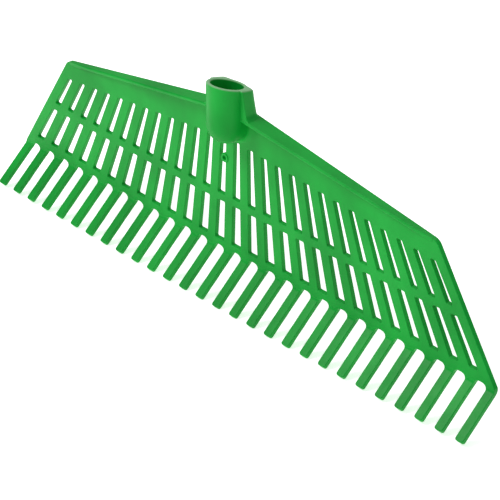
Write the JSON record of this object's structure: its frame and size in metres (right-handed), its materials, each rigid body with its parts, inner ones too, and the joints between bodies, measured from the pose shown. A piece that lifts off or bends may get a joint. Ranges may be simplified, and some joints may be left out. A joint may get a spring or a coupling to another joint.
{
  "type": "leaf rake head",
  "caption": "Moulded plastic leaf rake head with a fanned, slotted panel, a row of hooked tines and a round socket for a wooden handle.",
  "frame": {"origin": "middle of the handle socket's mouth, on the socket's axis", "axes": "+Z out of the socket along the handle, X along the rake's width, -Y towards the side that the tines bend to"},
  "size_m": [0.5258, 0.037, 0.1852],
  "materials": {
    "green_plastic": "satin moulded polypropylene"
  },
  "bodies": {
    "root": {"panel_bars_left": "green_plastic", "panel_bars_right": "green_plastic", "lower_crossbar": "green_plastic", "mid_crossbar": "green_plastic", "top_plate_left": "green_plastic", "top_plate_right": "green_plastic", "flange_left": "green_plastic", "flange_right": "green_plastic", "handle_socket": "green_plastic", "socket_web_left": "green_plastic", "socket_web_right": "green_plastic", "gate_boss": "green_plastic", "tine_01": "green_plastic", "tine_02": "green_plastic", "tine_03": "green_plastic", "tine_04": "green_plastic", "tine_05": "green_plastic", "tine_06": "green_plastic", "tine_07": "green_plastic", "tine_08": "green_plastic", "tine_09": "green_plastic", "tine_10": "green_plastic", "tine_11": "green_plastic", "tine_12": "green_plastic", "tine_13": "green_plastic", "tine_14": "green_plastic", "tine_15": "green_plastic", "tine_16": "green_plastic", "tine_17": "green_plastic", "tine_18": "green_plastic", "tine_19": "green_plastic", "tine_20": "green_plastic", "tine_21": "green_plastic", "tine_22": "green_plastic", "tine_23": "green_plastic", "tine_24": "green_plastic", "tine_25": "green_plastic", "tine_26": "green_plastic", "tine_27": "green_plastic", "tine_28": "green_plastic"}
  },
  "joints": []
}
